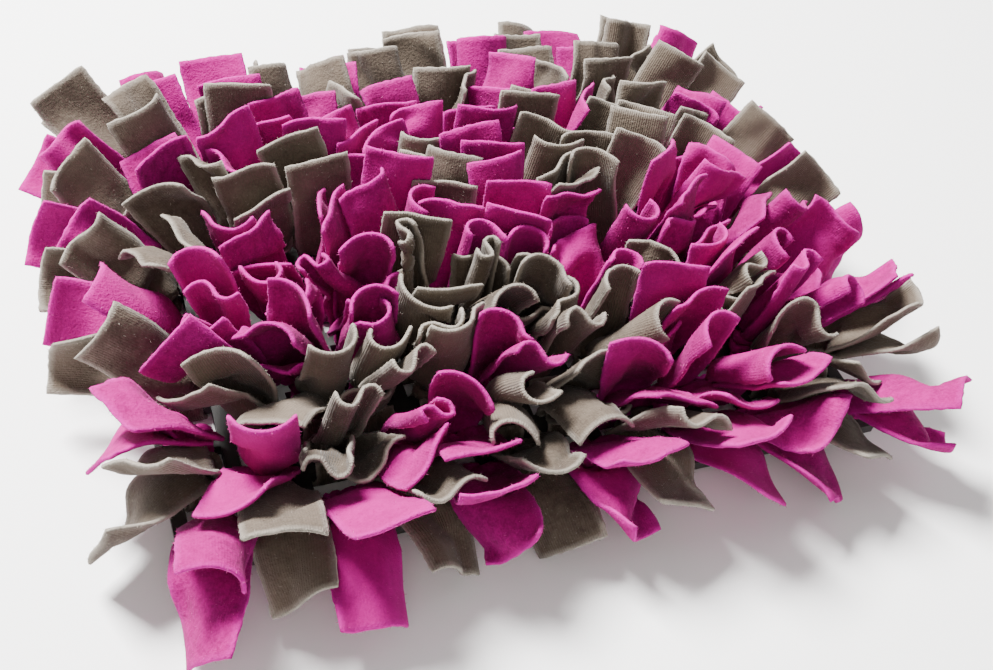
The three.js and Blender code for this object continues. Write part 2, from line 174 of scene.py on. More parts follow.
class Wire:
    """A socket of a node tree that can be used in sums."""

    def __init__(self, tree, socket):
        self.tree = tree
        self.socket = socket

    def math(self, operation, *values):
        node = self.tree.nodes.new("ShaderNodeMath")
        node.operation = operation
        for target, value in zip(node.inputs, values):
            feed(self.tree, target, value)
        return Wire(self.tree, node.outputs[0])

    def __add__(self, other):
        return self.math("ADD", self, other)

    __radd__ = __add__

    def __mul__(self, other):
        return self.math("MULTIPLY", self, other)

    __rmul__ = __mul__

    def sine(self):
        return self.math("SINE", self)

    def beside(self, name):
        """Another output of the same node."""
        return Wire(self.tree, self.socket.node.outputs[name])


class Graph:
    """Adds nodes to a node tree."""

    def __init__(self, tree):
        self.tree = tree

    def node(self, kind, inputs=None, output=0, **settings):
        """Any node: settings are its properties, inputs its sockets by name or number."""
        made = self.tree.nodes.new(kind)
        for key, value in settings.items():
            setattr(made, key, value)
        for key, value in (inputs or {}).items():
            feed(self.tree, made.inputs[key], value)
        return Wire(self.tree, made.outputs[output])


class Shader(Graph):
    """Builds the node tree of one material."""

    def __init__(self, name):
        self.material = bpy.data.materials.new(name)
        self.material.use_nodes = True
        super().__init__(self.material.node_tree)
        self.bsdf = self.tree.nodes["Principled BSDF"]

    def mix(self, factor, a, b):
        """Blends two colours, by the numbers of the node's colour sockets."""
        a, b = (c if isinstance(c, Wire) else (*c, 1) for c in (a, b))
        return self.node("ShaderNodeMix", {0: factor, 6: a, 7: b}, 2, data_type="RGBA")

    def ramp(self, value, low, high):
        """value stretched so that low gives 0 and high gives 1."""
        return self.node("ShaderNodeMapRange", {
            "Value": value, "From Min": low, "From Max": high})

    def noise(self, vector, scale, detail=2.0, roughness=0.5):
        return self.node("ShaderNodeTexNoise", {
            "Vector": vector, "Scale": scale, "Detail": detail, "Roughness": roughness})

    def place(self):
        return self.node("ShaderNodeTexCoord", output="Object")

    def attribute(self, name, output="Fac"):
        return self.node("ShaderNodeAttribute", output=output, attribute_name=name)

    def bump(self, height, strength, distance):
        return self.node("ShaderNodeBump", {
            "Height": height, "Strength": strength, "Distance": distance})

    def surface(self, **inputs):
        """Sets the shader's sockets, named in small letters, and returns the material."""
        sockets = {s.name.lower().replace(" ", "_"): s for s in self.bsdf.inputs}
        for key, value in inputs.items():
            feed(self.tree, sockets[key], value)
        return self.material


def fleece_material(name, main, deep, edge, rib_pitch, sheen, rib, lift):
    """Napped fleece: painted shade in the nap's hollows, lighter and darker clouds, a cut edge
    painted paler as a highlight, and fine knit ribs.
    """
    shader = Shader(name)
    place = shader.place()
    nap = shader.noise(place, 900.0, 3.0, 0.65)
    clumps = shader.noise(place, 260.0, 2.0, 0.55)
    cloud = shader.noise(place, 32.0, 2.0)
    tint = shader.attribute("tint")
    rim = shader.attribute("rim")
    back = shader.attribute("back")
    # Painted shade: where the nap and clumps are low, as in the bump below, the colour goes to the
    # darker nap shade colour.
    depth = shader.ramp(nap * 0.55 + clumps * 0.45, 0.36, 0.62)
    colour = shader.mix(depth, deep, main)
    lighter = [c * lift for c in main]
    darker = [c * 0.72 for c in deep]
    colour = shader.mix(shader.ramp(cloud + tint * 0.6, 0.65, 1.15) * 0.7, colour, lighter)
    colour = shader.mix(shader.ramp(tint, 0.45, 0.0) * 0.3, colour, darker)
    # Painted highlight: the cut edge, marked by rim, is blended towards the paler edge colour, as if
    # its fuzz caught the light.
    colour = shader.mix(rim * (0.45 + nap * 0.6), colour, edge)
    uv = shader.node("ShaderNodeSeparateXYZ", {
        0: shader.node("ShaderNodeUVMap", uv_map="strip")})
    ribs = (uv * (2 * math.pi / rib_pitch)).sine()
    height = nap * 0.7 + clumps * 0.4 + ribs * (back * 0.6 + 0.4) * rib
    return shader.surface(
        base_color=colour, roughness=0.96, specular_ior_level=0.12,
        sheen_weight=sheen, sheen_roughness=0.42,
        normal=shader.bump(height, 0.75, 0.0011))


def rubber_material(name, colour):
    """Dusty black rubber with a fine grain."""
    shader = Shader(name)
    place = shader.place()
    grain = shader.noise(place, 1400.0, 2.0)
    dust = shader.noise(place, 60.0, 4.0)
    light = [c + 0.05 for c in colour]
    base = shader.mix(shader.ramp(dust, 0.5, 0.8) * 0.6, colour, light)
    return shader.surface(
        base_color=base, roughness=shader.ramp(dust, -0.4, 1.5), specular_ior_level=0.35,
        normal=shader.bump(grain, 0.3, 0.0003))


def floor_material(name, colour):
    """Plain pale paint with a faint cloud."""
    shader = Shader(name)
    cloud = shader.noise(shader.place(), 3.0, 2.0)
    dim = [c * 0.985 for c in colour]
    return shader.surface(base_color=shader.mix(cloud, colour, dim), roughness=0.9,
                          specular_ior_level=0.1)


# ---------------- tails of the frame

def read(items, key, kind, each=1):
    """One property of all the items of a mesh, as a flat array."""
    values = np.empty(len(items) * each, dtype=kind)
    items.foreach_get(key, values)
    return values


def paint(mesh, key, values):
    """Writes a number for each point of a mesh, for the nodes to read by its name."""
    layer = mesh.attributes.new(key, "FLOAT", "POINT")
    layer.data.foreach_set("value", np.asarray(values, dtype=np.float32))


def cad_triangles(node):
    """Welded vertices in millimetres and triangles of a CAD node."""
    mesh = node.data
    mesh.calc_loop_triangles()
    points = read(mesh.vertices, "co", float, 3).reshape(-1, 3) / MM
    faces = read(mesh.loop_triangles, "vertices", np.int64, 3)
    points, index = np.unique(np.round(points, 3), axis=0, return_inverse=True)
    return points, index.reshape(-1)[faces].reshape(-1, 3)


def cad_tails(node, thickness=2.0):
    """The tails of a lane: left and right edge points from the seat to the cut end.

    The two points of an edge that lie a thickness apart are a pair. Faces on a tail's thin sides
    and cut end link its pairs into one path, up one edge and down the other.
    """
    points, faces = cad_triangles(node)
    seat = np.abs(points[:, 2] - SEAT_TOP) < 0.01
    near = {}
    for a, b in {tuple(sorted(e)) for f in faces for e in ((f[0], f[1]), (f[1], f[2]), (f[0], f[2]))}:
        near.setdefault(a, []).append(b)
        near.setdefault(b, []).append(a)
    partner = {}
    for a, others in near.items():
        if seat[a]:
            continue
        fits = [(abs(np.linalg.norm(points[a] - points[b]) - thickness), b)
                for b in others if not seat[b]]
        fits = [f for f in fits if f[0] < 0.02]
        if fits:
            partner[a] = min(fits)[1]
    pair = {a: tuple(sorted((a, b))) for a, b in partner.items() if partner.get(b) == a}
    links = {}
    for f in faces:
        for i in range(3):
            a, b, c = f[i], f[(i + 1) % 3], f[(i + 2) % 3]
            if a in pair and pair[a] == tuple(sorted((a, b))) and c in pair and pair[c] != pair[a]:
                links.setdefault(pair[a], set()).add(pair[c])
                links.setdefault(pair[c], set()).add(pair[a])
    ends = [p for p, others in links.items() if len(others) == 1]
    half = len(SECTION_AT) - 1
    longest = 5 * half
    tails, seen = [], set()
    for end in ends:
        if end in seen:
            continue
        path, last = [end], None
        while True:
            onward = [p for p in links[path[-1]] if p != last]
            if not onward:
                break
            last = path[-1]
            path.append(onward[0])
            if len(path) > longest:
                break
        seen.update((path[0], path[-1]))
        if len(path) != 2 * half:
            continue
        middle = np.array([points[list(p)].mean(axis=0) for p in path])
        left, right = middle[:half], middle[:half - 1:-1]
        cut = [n for p in (path[0], path[-1]) for v in p for n in near[v] if seat[n]]
        root = points[cut].mean(axis=0)
        across = right[0] - left[0]
        across /= np.linalg.norm(across)
        tails.append((np.vstack([root - ROOT_HALF * across, left]),
                      np.vstack([root + ROOT_HALF * across, right])))
    return tails


def unit(vectors):
    """Vectors (..., n) at a length of one."""
    return vectors / np.maximum(np.linalg.norm(vectors, axis=-1, keepdims=True), 1e-9)


def square_to(vector, axis):
    """The part of vector that is square to a unit axis, at unit length."""
    vector = vector - axis * (vector @ axis)
    return vector / np.linalg.norm(vector)


def third_tail(pair, random):
    """Edge points of a shorter tail that stands in the fork of a knot's two tails."""
    middle = [(left + right) / 2 for left, right in pair]
    root = (middle[0][0] + middle[1][0]) / 2
    out = [(m[2] - m[0]) / np.linalg.norm(m[2] - m[0]) for m in middle]
    ahead = out[0] + out[1] + np.array([0, 0, 0.3])
    ahead /= np.linalg.norm(ahead)
    fork = square_to(np.cross(out[0], out[1]), ahead)
    turn = random.uniform(-1.2, 1.2)
    ahead = ahead + random.uniform(-0.45, 0.45, 3)
    ahead /= np.linalg.norm(ahead)
    fork = square_to(fork, ahead)
    across = fork * math.cos(turn) + np.cross(ahead, fork) * math.sin(turn)
    line = root + ahead * random.uniform(*THIRD_LENGTH) * SECTION_AT[:, None]
    half = across * THIRD_HALF[:, None]
    return line - half, line + half


def hermite(values, at, wanted):
    """Smooth curve through values (T, K, 3) at the places at (K,), read at wanted (M,)."""
    gap = np.diff(at)[None, :, None]
    slope = np.diff(values, axis=1) / gap
    tangent = np.empty_like(values)
    tangent[:, 1:-1] = (slope[:, 1:] * gap[:, :-1] + slope[:, :-1] * gap[:, 1:]) / (
        gap[:, :-1] + gap[:, 1:])
    tangent[:, 0] = 1.5 * slope[:, 0] - 0.5 * tangent[:, 1]
    tangent[:, -1] = 1.5 * slope[:, -1] - 0.5 * tangent[:, -2]
    k = np.clip(np.searchsorted(at, wanted, side="right") - 1, 0, len(at) - 2)
    h = (at[k + 1] - at[k])[None, :, None]
    t = ((wanted - at[k])[None, :, None]) / h
    return ((2 * t**3 - 3 * t**2 + 1) * values[:, k] + (t**3 - 2 * t**2 + t) * h * tangent[:, k]
            + (3 * t**2 - 2 * t**3) * values[:, k + 1] + (t**3 - t**2) * h * tangent[:, k + 1])


def flat_cloth(left, right):
    """Flat cloth (tail, along, across, 3) between the left and right edges of tails."""
    along = np.linspace(0, 1, ROWS_ALONG)
    across = np.linspace(0, 1, COLS_ACROSS)[None, None, :, None]
    left, right = (hermite(np.asarray(edge), SECTION_AT, along)[:, :, None]
                   for edge in (left, right))
    return left * (1 - across) + right * across


def cloth_tree(at, first):
    """Search tree of cloth (tail, along, across, 3) from the row first on, and faces a tail."""
    rows = ROWS_ALONG - first
    r, c = np.divmod(np.arange((rows - 1) * (COLS_ACROSS - 1)), COLS_ACROSS - 1)
    a = r * COLS_ACROSS + c
    b = a + COLS_ACROSS
    faces = np.concatenate([np.stack([a, a + 1, b + 1], -1), np.stack([a, b + 1, b], -1)])
    starts = np.arange(len(at))[:, None, None] * rows * COLS_ACROSS
    tree = BVHTree.FromPolygons(at[:, first:].reshape(-1, 3).tolist(),
                                (faces[None] + starts).reshape(-1, 3).tolist(),
                                all_triangles=True)
    return tree, len(faces)


def smooth(low, high, x):
    """0 below low, 1 above high, and a soft step between them."""
    t = np.clip((x - low) / (high - low), 0, 1)
    return t * t * (3 - 2 * t)


# ---------------- cloth

class Tails:
    """All tails as cloth points, (tail, along, across, 3), in millimetres."""

    def __init__(self, left, right, strip_width, seed=5):
        self.random = np.random.default_rng(seed)
        count = len(left)
        along = np.linspace(0, 1, ROWS_ALONG)
        self.clean = flat_cloth(left, right)
        middle = self.clean.mean(axis=2)
        self.start = middle
        self.calm = np.ones(count)
        self.length = np.linalg.norm(np.diff(middle, axis=1), axis=2)
        tip = np.linalg.norm(right[:, -1] - left[:, -1], axis=1)
        self.width = strip_width * np.clip(tip / tip.max(), 0.93, 1)
        root, end = middle[:, 0, :2], middle[:, -1, :2]
        low, high = root.min(axis=0), root.max(axis=0)
        beyond = np.maximum(low - end, end - high).max(axis=1)
        self.rim = smooth(4, 20, beyond)[:, None]
        depth = (root[:, 1:] - low[1]) / (high[1] - low[1])
        self.far = smooth(0.45, 0.8, depth) * (1 - self.rim)
        self.mid = (1 - self.rim) * (1 - self.far)
        tied = 0.6 + 0.25 * self.rim
        gather = tied + (1 - tied) * smooth(0, 0.3 - 0.14 * self.rim, along[None, :])
        self.spread = self.width[:, None] * gather
        self.lean(along, count)
        self.curl(along, count)

    def lean(self, along, count):
        """Chooses how far each tail turns about its own line, and leans a little aside."""
        rnd = self.random
        late = smooth(0.1, 1, along)[None, :, None]
        ahead = unit(np.gradient(self.start, axis=1))
        upright = np.clip(ahead[:, 4, 2], 0.15, 1)[:, None, None]
        self.across = unit(self.clean[:, :, -1] - self.clean[:, :, 0])
        self.face = np.cross(self.across, ahead)
        rim, far, mid = (v[:, :, None] for v in (self.rim, self.far, self.mid))
        sway = rnd.choice([-1.0, 1.0], (count, 1, 1)) * rnd.uniform(0.25, 1, (count, 1, 1))
        self.aside = self.across * sway * (9 + 14 * far + 4 * mid)
        sway = rnd.uniform(-1, 1, (count, 1, 1)) * upright
        self.aside = (self.aside + self.face * sway * (5 + 7 * far + 7 * mid)) * late
        self.twist = rnd.uniform(-1, 1, (count, 1, 1)) * (0.75 + 0.4 * far - 0.35 * rim) * late

    def curl(self, along, count):
        """Chooses how each tail curls across its width: in a C, in an S, or hardly at all."""
        rnd = self.random
        kind = rnd.random(count)
        tip = np.where(kind < 0.62, rnd.uniform(0.45, 2.0, count), rnd.uniform(0.5, 1.6, count))
        tip = np.where(kind > 0.86, rnd.uniform(0.05, 0.4, count), tip)
        tip *= (1 - 0.6 * self.far - 0.45 * self.rim)[:, 0]
        waved = (kind >= 0.62) & (kind < 0.86)
        root = rnd.uniform(1.0, 1.6, count) * (1 - 0.4 * self.far - 0.65 * self.rim)[:, 0]
        drift = smooth(0.1, 0.9, along)[None, :]
        turn = root[:, None] * (1 - drift) + tip[:, None] * drift
        t = np.linspace(-1, 1, 25)
        t = (t[1:] + t[:-1]) / 2
        skew = rnd.uniform(-0.45, 0.45, count)[:, None, None]
        c_form = turn[:, :, None] * (t + skew * (1 - t * t))
        s_form = turn[:, :, None] * 1.15 * np.cos(math.pi * (t + skew * 0.4))
        side = rnd.choice([-1.0, 1.0], count)[:, None, None]
        self.angle = np.where(waved[:, None, None], s_form, c_form) * side

    def prepare(self):
        """Puts the cloth back where the frame has it; a calmed tail is to curl and lean less."""
        calm = self.calm[:, None, None]
        self.goal = self.start + self.aside * calm
        twist = self.twist * calm
        self.turned = self.across * np.cos(twist) + self.face * np.sin(twist)
        angle = self.angle * (0.4 + 0.6 * calm)
        step = self.spread[:, :, None] / angle.shape[2]
        zero = np.zeros((*angle.shape[:2], 1))
        x = np.concatenate([zero, np.cumsum(np.cos(angle) * step, 2)], 2)
        y = np.concatenate([zero, np.cumsum(np.sin(angle) * step, 2)], 2)
        y -= y.mean(2, keepdims=True)
        pick = np.round(np.linspace(0, angle.shape[2], COLS_ACROSS)).astype(int)
        self.section = np.stack([x[:, :, pick], y[:, :, pick]], -1)
        self.at = self.clean + self.normals(self.clean) * self.section[..., 1:2] * START_CURL

    def turn(self, share, strength=0.07):
        """Turns each tail's width towards where it should be by now, about its own line."""
        wanted = unit(self.across * (1 - share) + self.turned * share)
        across = self.at[:, :, -1] - self.at[:, :, 0]
        chord = np.linalg.norm(across, axis=2, keepdims=True)
        move = (wanted * chord - across) * strength
        self.at += move[:, :, None] * np.linspace(-0.5, 0.5, COLS_ACROSS)[None, None, :, None]

    def crossings(self):
        """Pairs of tails whose cloth passes through each other, past the part gathered at a knot."""
        tree, faces = cloth_tree(self.at, GATHERED_ROWS)
        pairs = np.array(tree.overlap(tree)).reshape(-1, 2) // faces
        return np.unique(np.sort(pairs[pairs[:, 0] != pairs[:, 1]], axis=1), axis=0)

    def lay(self, steps, half, centre, calming):
        """Settles the cloth in rounds, each with the tails calmed that crossed in the last."""
        for calmer in calming:
            self.prepare()
            self.settle(steps, half, centre)
            pairs = self.crossings()
            self.calm[np.unique(pairs)] *= calmer
        return pairs

    @staticmethod
    def normals(at):
        """Which way the cloth faces at each of its points."""
        return unit(np.cross(np.gradient(at, axis=2), np.gradient(at, axis=1)))

    def pull(self, a, b, rest, stiffness):
        """Moves the points at the slices a and b towards being rest apart."""
        delta = self.at[b] - self.at[a]
        length = np.linalg.norm(delta, axis=-1)
        move = delta * ((length - rest) / np.maximum(length, 1e-6) * stiffness / 2)[..., None]
        self.at[a] += move
        self.at[b] -= move

    def pull_lines(self, axis, reach, rest, stiffness):
        """Pulls all points that are reach apart along an axis of the cloth, a part at a time."""
        size, step = self.at.shape[axis], max(reach, 2)
        before = (slice(None),) * axis
        shape = list(self.at.shape[:3])
        shape[axis] = size - reach
        rest = np.broadcast_to(rest, shape)
        for first in range(min(step, size - reach)):
            a = (*before, slice(first, size - reach, step))
            b = (*before, slice(first + reach, size, step))
            self.pull(a, b, rest[a], stiffness)

    def cloth(self, grown):
        """One round of the cloth's own lengths: along, across, on the slant and over the curl."""
        flat = self.spread / (COLS_ACROSS - 1)
        self.pull_lines(1, 1, self.length[:, :, None], stiffness=0.9)
        self.pull_lines(2, 1, flat[:, :, None], stiffness=0.9)
        slant = np.hypot(self.length[:, :, None], (flat[:, 1:] + flat[:, :-1])[:, :, None] / 2)
        for first in (0, 1):
            for da, db in ((0, 1), (1, 0)):
                a = (slice(None), slice(first, ROWS_ALONG - 1, 2), slice(da, COLS_ACROSS - 1 + da))
                b = (slice(None), slice(first + 1, ROWS_ALONG, 2), slice(db, COLS_ACROSS - 1 + db))
                self.pull(a, b, slant[:, first::2], stiffness=0.35)
        for reach in (2, 3, COLS_ACROSS - 1):
            chord = np.linalg.norm(self.section[:, :, reach:] - self.section[:, :, :-reach], axis=-1)
            start = flat[:, :, None] * reach
            self.pull_lines(2, reach, start + (chord - start) * grown, stiffness=0.5)
        two = (self.length[:, :-1] + self.length[:, 1:])[:, :, None] * 0.985
        self.pull_lines(1, 2, two, stiffness=0.15)

    def close_pairs(self, reach):
        """Pairs of cloth points of different tails that are nearer than reach."""
        flat = self.at.reshape(-1, 3)
        cell = np.floor(flat / reach).astype(np.int64) + CELL_SHIFT
        key = (cell[:, 0] * CELL_SPAN + cell[:, 1]) * CELL_SPAN + cell[:, 2]
        order = np.argsort(key, kind="stable")
        sorted_key = key[order]
        per_tail = ROWS_ALONG * COLS_ACROSS
        found = []
        for dx in (-1, 0, 1):
            for dy in (-1, 0, 1):
                low = sorted_key + (dx * CELL_SPAN + dy) * CELL_SPAN - 1
                start = np.searchsorted(sorted_key, low, side="left")
                stop = np.searchsorted(sorted_key, low + 2, side="right")
                count = stop - start
                a = np.repeat(np.arange(len(flat)), count)
                offset = np.arange(count.sum()) - np.repeat(np.cumsum(count) - count, count)
                b = np.repeat(start, count) + offset
                keep = b > a
                a, b = order[a[keep]], order[b[keep]]
                other = a // per_tail != b // per_tail
                a, b = a[other], b[other]
                near = ((flat[a] - flat[b]) ** 2).sum(1) < reach * reach
                found.append(np.stack([a[near], b[near]]))
        return np.concatenate(found, axis=1)

    def push_apart(self, pairs, gap):
        """Moves the points of pairs that are nearer than gap away from each other."""
        flat = self.at.reshape(-1, 3)
        a, b = pairs
        delta = flat[b] - flat[a]
        apart = np.sqrt((delta ** 2).sum(1))
        close = (apart < gap) & (apart > 1e-6)
        a, b, delta, apart = a[close], b[close], delta[close], apart[close]
        move = delta * ((gap - apart) / apart * 0.45)[:, None]
        total = np.zeros_like(flat)
        for axis in range(3):
            total[:, axis] = (np.bincount(b, move[:, axis], len(flat))
                              - np.bincount(a, move[:, axis], len(flat)))
        met = np.bincount(a, minlength=len(flat)) + np.bincount(b, minlength=len(flat))
        hits = 1 + 0.25 * met
        flat += total / np.maximum(hits[:, None] * 0.8, 1)

    def keep_out(self, half_x, half_y, centre):
        """Keeps the cloth off the floor, and over or outside the lattice and the knots."""
        at = self.at
        at[..., 2] = np.maximum(at[..., 2], FLOOR_GAP)
        free = at[:, SEAT_ROWS:]
        over_x = half_x + LATTICE_GAP - np.abs(free[..., 0] - centre[0])
        over_y = half_y + LATTICE_GAP - np.abs(free[..., 1] - centre[1])
        under = SEAT_TOP + LATTICE_GAP - free[..., 2]
        inside = (over_x > 0) & (over_y > 0) & (under > 0)
        up = inside & (under <= over_x) & (under <= over_y)
        side_x = inside & ~up & (over_x < over_y)
        side_y = inside & ~up & ~side_x
        free[..., 2] += np.where(up, under, 0)
        free[..., 0] += np.where(side_x, np.sign(free[..., 0] - centre[0]) * over_x, 0)
        free[..., 1] += np.where(side_y, np.sign(free[..., 1] - centre[1]) * over_y, 0)

    def cut_area(self, members, strip):
        """Flat area in square metres of a row's strips, from their tails and tied middles."""
        tail = self.length[members].sum(axis=1) * self.width[members]
        middle = self.width[members] * (strip[1] / MM - 2 * TAIL_LENGTH) / 2
        return min(float((tail + middle).sum()) * MM * MM,
                   strip[0] * strip[1] * len(members) / 2)

    def settle(self, steps, half, centre):
        """Curls, turns and leans the tails step by step, and keeps them apart."""
        held = self.at[:, :HELD_ROWS].copy()
        for step in range(steps):
            share = step / max(steps - 1, 1)
            grown = float(smooth(0, 0.6, share))
            hold = HOLD * (1 - 0.8 * float(smooth(0.3, 0.9, share)))
            aim = self.start + (self.goal - self.start) * grown
            self.at += ((aim - self.at.mean(axis=2)) * hold)[:, :, None]
            self.turn(grown)
            for _ in range(2):
                self.cloth(grown)
                self.at[:, :HELD_ROWS] = held
            if step % SEARCH_EVERY == 0:
                pairs = self.close_pairs(CLOTH_GAP + SEARCH_MARGIN)
            for _ in range(2):
                self.push_apart(pairs, CLOTH_GAP)
            self.keep_out(*half, centre)
            self.at[:, :HELD_ROWS] = held


def finer(at, times):
    """Cloth points (T, M, N, 3) on a grid times finer both ways."""
    for axis in (1, 2):
        size = at.shape[axis]
        moved = np.moveaxis(at, axis, 1)
        shape = moved.shape
        flat = moved.transpose(0, 2, 1, 3).reshape(-1, size, 3)
        places = np.arange(size, dtype=float)
        wanted = np.linspace(0, size - 1, (size - 1) * times + 1)
        flat = hermite(flat, places, wanted)
        moved = flat.reshape(shape[0], shape[2], -1, 3).transpose(0, 2, 1, 3)
        at = np.moveaxis(moved, 1, axis)
    return at


# ---------------- meshes

class Batch:
    """Collects vertices, faces and their attributes for one mesh."""

    def __init__(self):
        self.points, self.faces, self.uv = [], [], []
        self.tint, self.rim, self.back = [], [], []
        self.count = 0

    def add(self, points, faces, uv, tint, rim, back):
        n = len(points)
        self.points.append(points)
        self.faces.append(np.asarray(faces) + self.count)
        self.uv.append(uv)
        self.tint.append(np.full(n, tint))
        self.rim.append(rim)
        self.back.append(back)
        self.count += n

    def mesh(self, name):
        points = np.concatenate(self.points) * MM
        faces = np.concatenate(self.faces)
        mesh = bpy.data.meshes.new(name)
        mesh.vertices.add(len(points))
        mesh.vertices.foreach_set("co", points.astype(np.float32).ravel())
        mesh.loops.add(faces.size)
        mesh.loops.foreach_set("vertex_index", faces.astype(np.int32).ravel())
        mesh.polygons.add(len(faces))
        mesh.polygons.foreach_set("loop_start", np.arange(0, faces.size, 4, dtype=np.int32))
        mesh.polygons.foreach_set("use_smooth", np.ones(len(faces), dtype=bool))
        uv = np.concatenate(self.uv).astype(np.float32)
        layer = mesh.uv_layers.new(name="strip")
        layer.data.foreach_set("uv", uv[faces.ravel()].ravel())
        for key, values in (("tint", self.tint), ("rim", self.rim), ("back", self.back)):
            paint(mesh, key, np.concatenate(values))
        mesh.update()
        mesh.validate()
        return mesh


def grid_faces(rows, cols, offset=0, flip=False, closed=False):
    """Four-sided faces of a grid of points, numbered row by row from offset on."""
    r = np.arange(rows - 1)[:, None]
    c = np.arange(cols if closed else cols - 1)[None, :]
    after = (c + 1) % cols
    a, b = r * cols + c, r * cols + after
    quads = np.stack([a, b, b + cols, a + cols], -1).reshape(-1, 4)
    if flip:
        quads = quads[:, ::-1]
    return quads + offset


def sheet_mesh(batch, at, half, tint, random):
    """A sheet of cloth from its middle points (M, N, 3), with soft rounded edges."""
    rows, cols = at.shape[:2]
    normal = Tails.normals(at[None])[0]
    ripple = random.normal(0, 0.035, (rows, cols, 1))
    top, bottom = at + normal * (half + ripple), at - normal * (half - ripple)
    ring = ([(0, c) for c in range(cols)] + [(r, cols - 1) for r in range(1, rows)]
            + [(rows - 1, c) for c in range(cols - 2, -1, -1)]
            + [(r, 0) for r in range(rows - 2, 0, -1)])
    ring_r, ring_c = np.array(ring).T
    edge = at[ring_r, ring_c]
    run = np.roll(edge, -1, 0) - np.roll(edge, 1, 0)
    out = unit(np.cross(run, normal[ring_r, ring_c]))
    inward = at[rows // 2, cols // 2] - edge
    if (out * inward).sum(1).mean() > 0:
        out = -out
    rag = half * (0.75 + random.uniform(-0.3, 0.35, (len(ring), 1)))
    rim_points = edge + out * rag
    points = np.concatenate([top.reshape(-1, 3), bottom.reshape(-1, 3), rim_points])
    size = rows * cols
    faces = [grid_faces(rows, cols), grid_faces(rows, cols, size, flip=True)]
    flat = ring_r * cols + ring_c
    after = np.roll(np.arange(len(ring)), -1)
    mid = 2 * size + np.arange(len(ring))
    faces.append(np.stack([flat[after], flat, mid, mid[after]], -1))
    faces.append(np.stack([flat + size, flat[after] + size, mid[after], mid], -1))
    across = np.linalg.norm(np.diff(at, axis=1), axis=2).mean(0)
    along = np.linalg.norm(np.diff(at, axis=0), axis=2).mean(1)
    u, v = np.concatenate([[0], np.cumsum(across)]), np.concatenate([[0], np.cumsum(along)])
    uv = np.stack(np.broadcast_arrays(u[None, :], v[:, None]), -1).reshape(-1, 2) * MM
    uv = np.concatenate([uv, uv, uv[flat]])
    # rim: 1 on the rounded cut edge and 0.5 where the faces meet it; the fuzz grows thicker there,
    # and the material paints a highlight by it.
    rim = np.zeros((rows, cols))
    rim[ring_r, ring_c] = 0.5
    rim = np.concatenate([rim.ravel(), rim.ravel(), np.ones(len(ring))])
    back = np.concatenate([np.zeros(size), np.ones(size), np.zeros(len(ring))])
    batch.add(points, np.concatenate(faces), uv, tint, rim, back)


def tube_mesh(batch, path, side, up, radius_side, radius_up, tint, sides=10):
    """A soft closed band: a tube round a closed path, wider one way than the other."""
    turn = np.linspace(0, 2 * math.pi, sides, endpoint=False)
    ring = (np.cos(turn)[None, :, None] * side[:, None] * radius_side[:, None, None]
            + np.sin(turn)[None, :, None] * up[:, None] * radius_up[:, None, None])
    points = path[:, None] + ring
    rows = len(path)
    faces = grid_faces(rows, sides, closed=True)
    last = (rows - 1) * sides
    c = np.arange(sides)
    after = (c + 1) % sides
    faces = np.concatenate([faces, np.stack([last + c, last + after, after, c], -1)])
    v = np.linspace(0, 0.03, rows)[:, None]
    u = (turn * 0.003)[None, :]
    uv = np.stack(np.broadcast_arrays(u, v), -1).reshape(-1, 2)
    n = rows * sides
    batch.add(points.reshape(-1, 3), faces, uv, tint, np.zeros(n), np.zeros(n))


def knot_mesh(batch, centre, tint, random):
    """A tied knot: two soft bands of the strip that cross over each other."""
    spin = random.uniform(-0.35, 0.35)
    for tilt, size, lift in ((0.28, (6.4, 4.4), 13.4), (-0.5, (5.2, 4.0), 15.6)):
        a = np.linspace(0, 2 * math.pi, 18, endpoint=False)
        path = np.stack([size[0] * np.cos(a), size[1] * np.sin(a), 1.1 * np.sin(a + tilt * 5)], -1)
        turn = np.array(Matrix.Rotation(spin + tilt, 3, "Z") @ Matrix.Rotation(tilt * 0.5, 3, "X"))
        path = path @ turn.T + np.array([centre[0], centre[1], lift])
        ahead = unit(np.roll(path, -1, 0) - np.roll(path, 1, 0))
        side = unit(np.cross(ahead, np.array([0.0, 0.0, 1.0])))
        swell = 1 + 0.16 * np.sin(2 * a + spin * 7) + random.normal(0, 0.04, len(a))
        tube_mesh(batch, path, side, np.cross(side, ahead), 1.9 * swell, 2.7 * swell, tint)


def loop_mesh(batch, centre, bar_y, half, tint, random):
    """The strip where it runs down, under the lattice bar and up again."""
    path = np.array([[-3.0, 12.0], [-5.4, 9.4], [-5.9, 5.0], [-5.5, 2.0], [-3.6, 0.98],
                     [0.0, 0.98], [3.6, 0.98], [5.5, 2.0], [5.9, 5.0], [5.4, 9.4], [3.0, 12.0]])
    path = hermite(path[None], np.arange(11.0), np.linspace(0, 10, 25))[0]
    x = np.linspace(-LOOP_HALF, LOOP_HALF, 9)
    pleat = np.sin(x * 0.9 + random.uniform(0, 6)) * 0.55
    free = smooth(1.2, 6.0, path[:, 1])
    normal = unit(np.stack([np.gradient(path[:, 1]), -np.gradient(path[:, 0])], -1))
    at = np.empty((len(path), len(x), 3))
    narrow = 1 - 0.22 * free
    at[..., 0] = centre[0] + x[None, :] * narrow[:, None]
    at[..., 1] = bar_y + path[:, :1] + normal[:, :1] * pleat[None, :] * free[:, None]
    at[..., 2] = path[:, 1:2] + normal[:, 1:2] * pleat[None, :] * free[:, None]
    sheet_mesh(batch, at, half, tint, random)


def object_from(mesh, name, material):
    """A new object in the scene with this mesh and material."""
    mesh.materials.clear()
    mesh.materials.append(material)
    made = bpy.data.objects.new(name, mesh)
    bpy.context.scene.collection.objects.link(made)
    return made


# ---------------- operators

